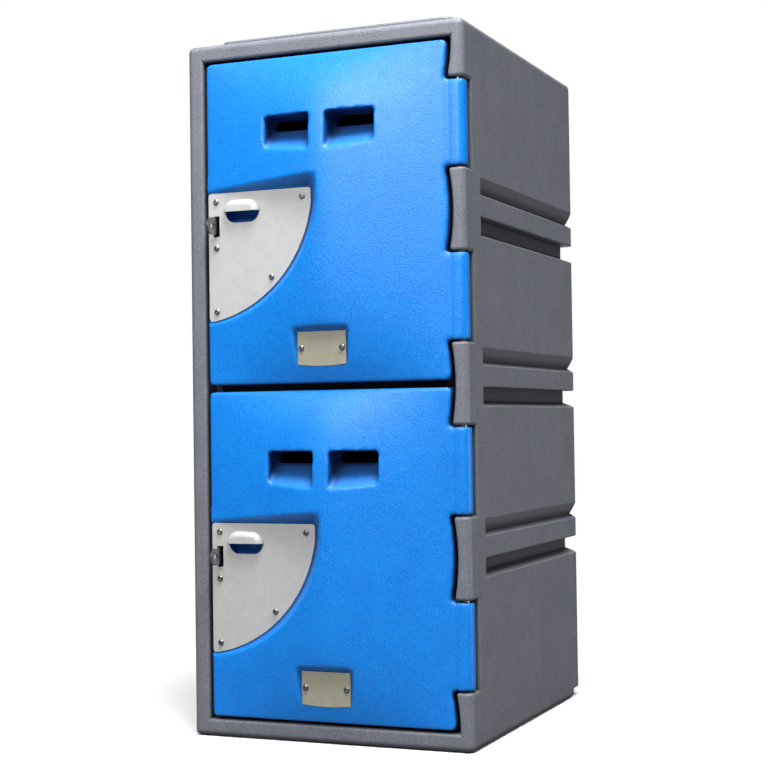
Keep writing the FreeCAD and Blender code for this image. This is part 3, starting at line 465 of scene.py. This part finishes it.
def ring_sizes(tree, given):
    """Height and radius of each ring from the shank's tip up, worked out from the inputs."""
    shank, head, dome = given["Shank radius"], given["Head radius"], given["Dome"]
    foot = add_node(tree, "ShaderNodeMath", {
        0: 0.0, 1: given["Shank length"]}, operation="SUBTRACT").outputs[0]
    foot_radius = add_node(tree, "ShaderNodeMath", {
        0: shank, 1: given["Tip"]}, operation="SUBTRACT").outputs[0]
    above_tip = add_node(tree, "ShaderNodeMath", {
        0: foot, 1: given["Tip"]}, operation="ADD").outputs[0]
    edge = add_node(tree, "ShaderNodeMath", {
        0: given["Head height"], 1: dome}, operation="SUBTRACT").outputs[0]
    flat = add_node(tree, "ShaderNodeMath", {0: head, 1: dome}, operation="SUBTRACT").outputs[0]
    rings = [(foot, foot_radius), (above_tip, shank), (0.0, shank), (0.0, head), (edge, head)]
    for step in range(1, DOME_STEPS + 1):
        angle = QUARTER_TURN * step / DOME_STEPS
        height = add_node(tree, "ShaderNodeMath", {
            0: dome, 1: math.sin(angle), 2: edge}, operation="MULTIPLY_ADD").outputs[0]
        radius = add_node(tree, "ShaderNodeMath", {
            0: dome, 1: math.cos(angle), 2: flat}, operation="MULTIPLY_ADD").outputs[0]
        rings.append((height, radius))
    return rings


def stack_rings(tree, given):
    """The screw without its socket, and which of its faces is the head's middle."""
    rings = ring_sizes(tree, given)
    foot, foot_radius = rings[0]
    disc = add_node(tree, "GeometryNodeMeshCircle", {
        "Vertices": SCREW_SIDES, "Radius": foot_radius}, fill_type="NGON")
    foot_place = add_node(tree, "ShaderNodeCombineXYZ", {"Z": foot})
    shape = add_node(tree, "GeometryNodeTransform", {
        "Geometry": disc.outputs["Mesh"],
        "Translation": foot_place.outputs[0]}).outputs["Geometry"]
    top = True
    for (height, radius), (next_height, next_radius) in zip(rings, rings[1:]):
        rise = add_node(tree, "ShaderNodeMath", {
            0: next_height, 1: height}, operation="SUBTRACT")
        widen = add_node(tree, "ShaderNodeMath", {
            0: next_radius, 1: radius}, operation="DIVIDE")
        shape, top = add_ring(tree, shape, top, rise.outputs[0], widen.outputs[0])
    return add_ring(tree, shape, top, 0.0, MIDDLE_SHARE)


print("a screw is", SCREW_MM["Shank length"] + SCREW_MM["Head height"], "mm long")

# %% [markdown]
# The socket is pressed into the head with a hexagonal punch. A boolean cut
# would leave long thin faces, so the head's middle is reshaped instead: each of
# its points keeps its direction from the middle and moves to the hexagon's
# outline, and then the whole face is pushed down.

# %% Socket of a screw
SIXTH_TURN = math.pi / 3


def press_socket(tree, shape, top, given):
    """The screw with its socket, whose flats lie the half width from the middle."""
    place = add_node(tree, "ShaderNodeSeparateXYZ", {
        0: add_node(tree, "GeometryNodeInputPosition").outputs[0]}).outputs
    angle = add_node(tree, "ShaderNodeMath", {
        0: place["Y"], 1: place["X"]}, operation="ARCTAN2").outputs[0]
    turned = add_node(tree, "ShaderNodeMath", {0: angle, 1: math.pi}, operation="ADD").outputs[0]
    sixth = add_node(tree, "ShaderNodeMath", {
        0: turned, 1: SIXTH_TURN}, operation="MODULO").outputs[0]
    lean = add_node(tree, "ShaderNodeMath", {
        0: sixth, 1: SIXTH_TURN / 2}, operation="SUBTRACT").outputs[0]
    shrink = add_node(tree, "ShaderNodeMath", {0: lean}, operation="COSINE").outputs[0]
    reach = add_node(tree, "ShaderNodeMath", {
        0: given["Socket half width"], 1: shrink}, operation="DIVIDE").outputs[0]
    across = add_node(tree, "ShaderNodeMath", {0: angle}, operation="COSINE").outputs[0]
    along = add_node(tree, "ShaderNodeMath", {0: angle}, operation="SINE").outputs[0]
    x = add_node(tree, "ShaderNodeMath", {0: across, 1: reach}, operation="MULTIPLY").outputs[0]
    y = add_node(tree, "ShaderNodeMath", {0: along, 1: reach}, operation="MULTIPLY").outputs[0]
    hexagon = add_node(tree, "ShaderNodeCombineXYZ", {"X": x, "Y": y, "Z": place["Z"]})
    shape = add_node(tree, "GeometryNodeSetPosition", {
        "Geometry": shape, "Selection": top,
        "Position": hexagon.outputs[0]}).outputs["Geometry"]
    sunk = add_node(tree, "ShaderNodeMath", {
        0: given["Socket depth"], 1: -1.0}, operation="MULTIPLY").outputs[0]
    screw, _ = add_ring(tree, shape, top, sunk, 1.0)
    return screw


print("a socket is", 2 * SCREW_MM["Socket half width"], "mm across its flats")

# %% [markdown]
# Instance on Points sets a screw on every place, with its head to the front. The
# sockets stop at random angles, as a fitter leaves them; a fixed seed keeps them
# the same in every run. Realize Instances turns the copies into real faces, and
# Set Material gives them their finish.

# %% The screw tree
FITTING_SEED = 7


def build_screw_tree():
    """The tree that makes a screw from its inputs and sets it on all places."""
    tree = bpy.data.node_groups.new("button_head_screws", "GeometryNodeTree")
    tree.interface.new_socket("Places", in_out="INPUT", socket_type="NodeSocketGeometry")
    for name in SCREW_MM:
        tree.interface.new_socket(name, in_out="INPUT", socket_type="NodeSocketFloat")
    tree.interface.new_socket("Finish", in_out="INPUT", socket_type="NodeSocketMaterial")
    tree.interface.new_socket("Screws", in_out="OUTPUT", socket_type="NodeSocketGeometry")
    given = add_node(tree, "NodeGroupInput").outputs
    shape, top = stack_rings(tree, given)
    screw = press_socket(tree, shape, top, given)
    turn = add_node(tree, "FunctionNodeRandomValue", {
        "Min": 0.0, "Max": SIXTH_TURN, "Seed": FITTING_SEED}, data_type="FLOAT")
    facing = add_node(tree, "ShaderNodeCombineXYZ", {
        "X": QUARTER_TURN, "Y": turn.outputs["Value"]})
    set_out = add_node(tree, "GeometryNodeInstanceOnPoints", {
        "Points": given["Places"], "Instance": screw, "Rotation": facing.outputs[0]})
    real = add_node(tree, "GeometryNodeRealizeInstances", {
        "Geometry": set_out.outputs["Instances"]})
    finished = add_node(tree, "GeometryNodeSetMaterial", {
        "Geometry": real.outputs["Geometry"], "Material": given["Finish"]})
    add_node(tree, "NodeGroupOutput", {"Screws": finished.outputs["Geometry"]})
    return tree


screw_tree = build_screw_tree()
print("screw tree with", len(screw_tree.nodes), "nodes")

# %% [markdown]
# The places could be typed in. They are read from the exact screws in the frame
# instead, so that they can't drift from the plates' holes. The points of those
# solids are sorted into screws by how near they lie to each other, and the
# middle of each bearing face is a place.

# %% Screws on their places
SCREW_REACH_MM = 9
SHARP_ANGLE = math.radians(35)


def screw_places(node):
    """Middle of each screw's bearing face, from the points of a node with several screws."""
    shape = bmesh.new()
    shape.from_mesh(node.data)
    screws = {}
    for vertex in shape.verts:
        for x, z in screws:
            if math.hypot(vertex.co.x - x, vertex.co.z - z) < SCREW_REACH_MM * MM:
                screws[x, z].append(vertex.co.copy())
                break
        else:
            screws[vertex.co.x, vertex.co.z] = [vertex.co.copy()]
    shape.free()
    places = []
    for points in screws.values():
        low = Vector(min(point[axis] for point in points) for axis in range(3))
        high = Vector(max(point[axis] for point in points) for axis in range(3))
        middle = (low + high) / 2
        places.append((middle.x, low.y + SCREW_MM["Head height"] * MM, middle.z))
    return places


wanted = {name: size * MM for name, size in SCREW_MM.items()}
wanted["Finish"] = bright_stainless
for level in LEVELS:
    replaced = [f"lock_plate_screws_{level}", f"number_plate_screws_{level}"]
    points = [place for name in replaced for place in screw_places(nodes[name])]
    mesh = bpy.data.meshes.new("screw_places")
    mesh.from_pydata(points, [], [])
    draft = bpy.data.objects.new(f"draft_screws_{level}", mesh)
    maker = draft.modifiers.new("screws", "NODES")
    maker.node_group = screw_tree
    for socket in screw_tree.interface.items_tree:
        if socket.name in wanted:
            maker[socket.identifier] = wanted[socket.name]
    screws = plain_mesh(draft, f"button_head_screws_{level}")
    shade_smooth(screws)
    screws.data.set_sharp_from_angle(angle=SHARP_ANGLE)
    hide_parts(*replaced)
    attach(screws, f"{level}_door")
    print(screws.name, len(points), "screws,", len(screws.data.polygons), "faces")

# %% [markdown]
# The camera stands where the photographer stood: a little to the right, about
# two metres from the doors and at the height of the lower lock. Three angles
# and a place settle it. It could be aimed at a point instead, but a camera held
# by hand also leans a little, and the angles say by how much.

# %% Camera
CAMERA_PLACE = Vector((0.8668, -2.0917, 0.4037))
TURN, LIFT, ROLL = (math.radians(angle) for angle in (22.76, 1.347, -0.796))
LENS_MM = 76.52
SENSOR_MM = 36

ahead = Vector((
    -math.sin(TURN) * math.cos(LIFT), math.cos(TURN) * math.cos(LIFT), math.sin(LIFT)))
level_right = ahead.cross(Vector((0, 0, 1))).normalized()
level_up = level_right.cross(ahead)
right = level_right * math.cos(ROLL) + level_up * math.sin(ROLL)
up = level_up * math.cos(ROLL) - level_right * math.sin(ROLL)
axes = Matrix((right, up, -ahead)).transposed().to_4x4()
camera_data = bpy.data.cameras.new("camera")
camera_data.lens = LENS_MM
camera_data.sensor_width = SENSOR_MM
camera = bpy.data.objects.new("camera", camera_data)
camera.matrix_world = Matrix.Translation(CAMERA_PLACE) @ axes
bpy.context.scene.collection.objects.link(camera)
bpy.context.scene.camera = camera
print("camera at", tuple(round(c, 3) for c in CAMERA_PLACE))

# %% [markdown]
# The studio is white all round for the camera. So much white would wash the
# colours out in reflections, which therefore see a darker tone of it, and on
# the object it only shines as an even, weak dome. A Light Path node tells the
# three apart. The view transform Standard shows colours as they are written.

# %% World
DOME = 0.10
MIRRORED = 0.12
WHITE = linear("FFFFFF")
bpy.context.scene.view_settings.view_transform = "Standard"
world = bpy.data.worlds.new("studio")
bpy.context.scene.world = world
world.use_nodes = True
tree = world.node_tree
tree.nodes.clear()
path = add_node(tree, "ShaderNodeLightPath").outputs
unseen = add_node(tree, "ShaderNodeMapRange", {
    "Value": path["Is Glossy Ray"], "To Min": DOME, "To Max": MIRRORED})
strength = add_node(tree, "ShaderNodeMapRange", {
    "Value": path["Is Camera Ray"], "To Min": unseen.outputs["Result"], "To Max": 1.0})
background = add_node(tree, "ShaderNodeBackground", {
    "Color": WHITE, "Strength": strength.outputs["Result"]})
add_node(tree, "ShaderNodeOutputWorld", {"Surface": background.outputs[0]})
print("dome", DOME, "and in reflections", MIRRORED)

# %% [markdown]
# Five soft lamps light the object, because large lamps give the soft edges and
# broad highlights of a studio, which a small or distant one doesn't. The key
# lamp hangs high on the right and a top lamp close to the doors, so the upper
# half of each bulging door is bright and its lower half falls off. A front lamp
# lays a broad sheen over the doors' right half. A weak reflector keeps the side
# that is turned away readable, and a lamp behind lights the back.

# %% Lamps


def soft_lamp(name, place, aim, size, watts):
    """A square area lamp at a place, turned to face another place."""
    lamp_data = bpy.data.lights.new(name, "AREA")
    lamp_data.size = size
    lamp_data.energy = watts
    lamp = bpy.data.objects.new(name, lamp_data)
    lamp.location = place
    lamp.visible_camera = False
    lamp.rotation_euler = (Vector(aim) - Vector(place)).to_track_quat("-Z", "Y").to_euler()
    bpy.context.scene.collection.objects.link(lamp)
    print(name, "lamp,", size, "m and", watts, "W")


soft_lamp("key", place=(1.20, -1.20, 3.68), aim=(0, 0, 0.5), size=1.4, watts=110)
soft_lamp("top", place=(0.25, -0.63, 2.44), aim=(0, -0.2, 0.6), size=0.9, watts=62)
soft_lamp("front", place=(-0.30, -2.81, 1.95), aim=(0, 0, 0.6), size=1.3, watts=60)
soft_lamp("reflector", place=(1.3, 0.2, 0.15), aim=(0.19, 0, 0.15), size=0.8, watts=5.5)
soft_lamp("back", place=(-1.0, 3.0, 0.5), aim=(0, 0, 0.45), size=1.2, watts=90)

# %% [markdown]
# The floor is plain and pale, takes the object's shadow and fades into the
# white. In a real studio a sheet of paper curves up behind the object. A flat
# floor that fades does the same and stands in no other view's way. It too is
# darker to all but the camera, so that little light comes back up and recesses
# stay deep.

# %% Floor
FLOOR_REACH = 6
FLOOR_CORNERS = ((-1, -1), (1, -1), (1, 1), (-1, 1))
FADE_START, FADE_END = 0.38, 0.95
SEEN_TONE, LIT_TONE, MIRRORED_TONE = linear("FAFAFA"), linear("7C7C7C"), linear("505050")
floor_mesh = bpy.data.meshes.new("floor")
floor_mesh.from_pydata(
    [(x * FLOOR_REACH, y * FLOOR_REACH, 0) for x, y in FLOOR_CORNERS], [], [(0, 1, 2, 3)])
floor = bpy.data.objects.new("floor", floor_mesh)
bpy.context.scene.collection.objects.link(floor)
material, tree, output, place = new_material("pale_floor")
distance = add_node(tree, "ShaderNodeVectorMath", {
    0: place}, operation="LENGTH").outputs["Value"]
fade = add_node(tree, "ShaderNodeMapRange", {
    "Value": distance, "From Min": FADE_START, "From Max": FADE_END},
    interpolation_type="SMOOTHSTEP").outputs["Result"]
path = add_node(tree, "ShaderNodeLightPath").outputs
seen = path["Is Camera Ray"]
unseen_tone = add_node(tree, "ShaderNodeMix", {
    "Factor": path["Is Glossy Ray"], "A": LIT_TONE, "B": MIRRORED_TONE},
    data_type="RGBA").outputs["Result"]
tone = add_node(tree, "ShaderNodeMix", {
    "Factor": seen, "A": unseen_tone, "B": SEEN_TONE}, data_type="RGBA").outputs["Result"]
matt = add_node(tree, "ShaderNodeBsdfDiffuse", {"Color": tone})
glow = add_node(tree, "ShaderNodeEmission", {"Color": WHITE, "Strength": 1.0})
share = add_node(tree, "ShaderNodeMath", {0: fade, 1: seen}, operation="MULTIPLY").outputs[0]
surface = add_node(tree, "ShaderNodeMixShader", {
    0: share, 1: matt.outputs[0], 2: glow.outputs[0]})
tree.links.new(surface.outputs[0], output.inputs["Surface"])
floor_mesh.materials.append(material)
print("floor fades from", FADE_START, "to", FADE_END, "m")
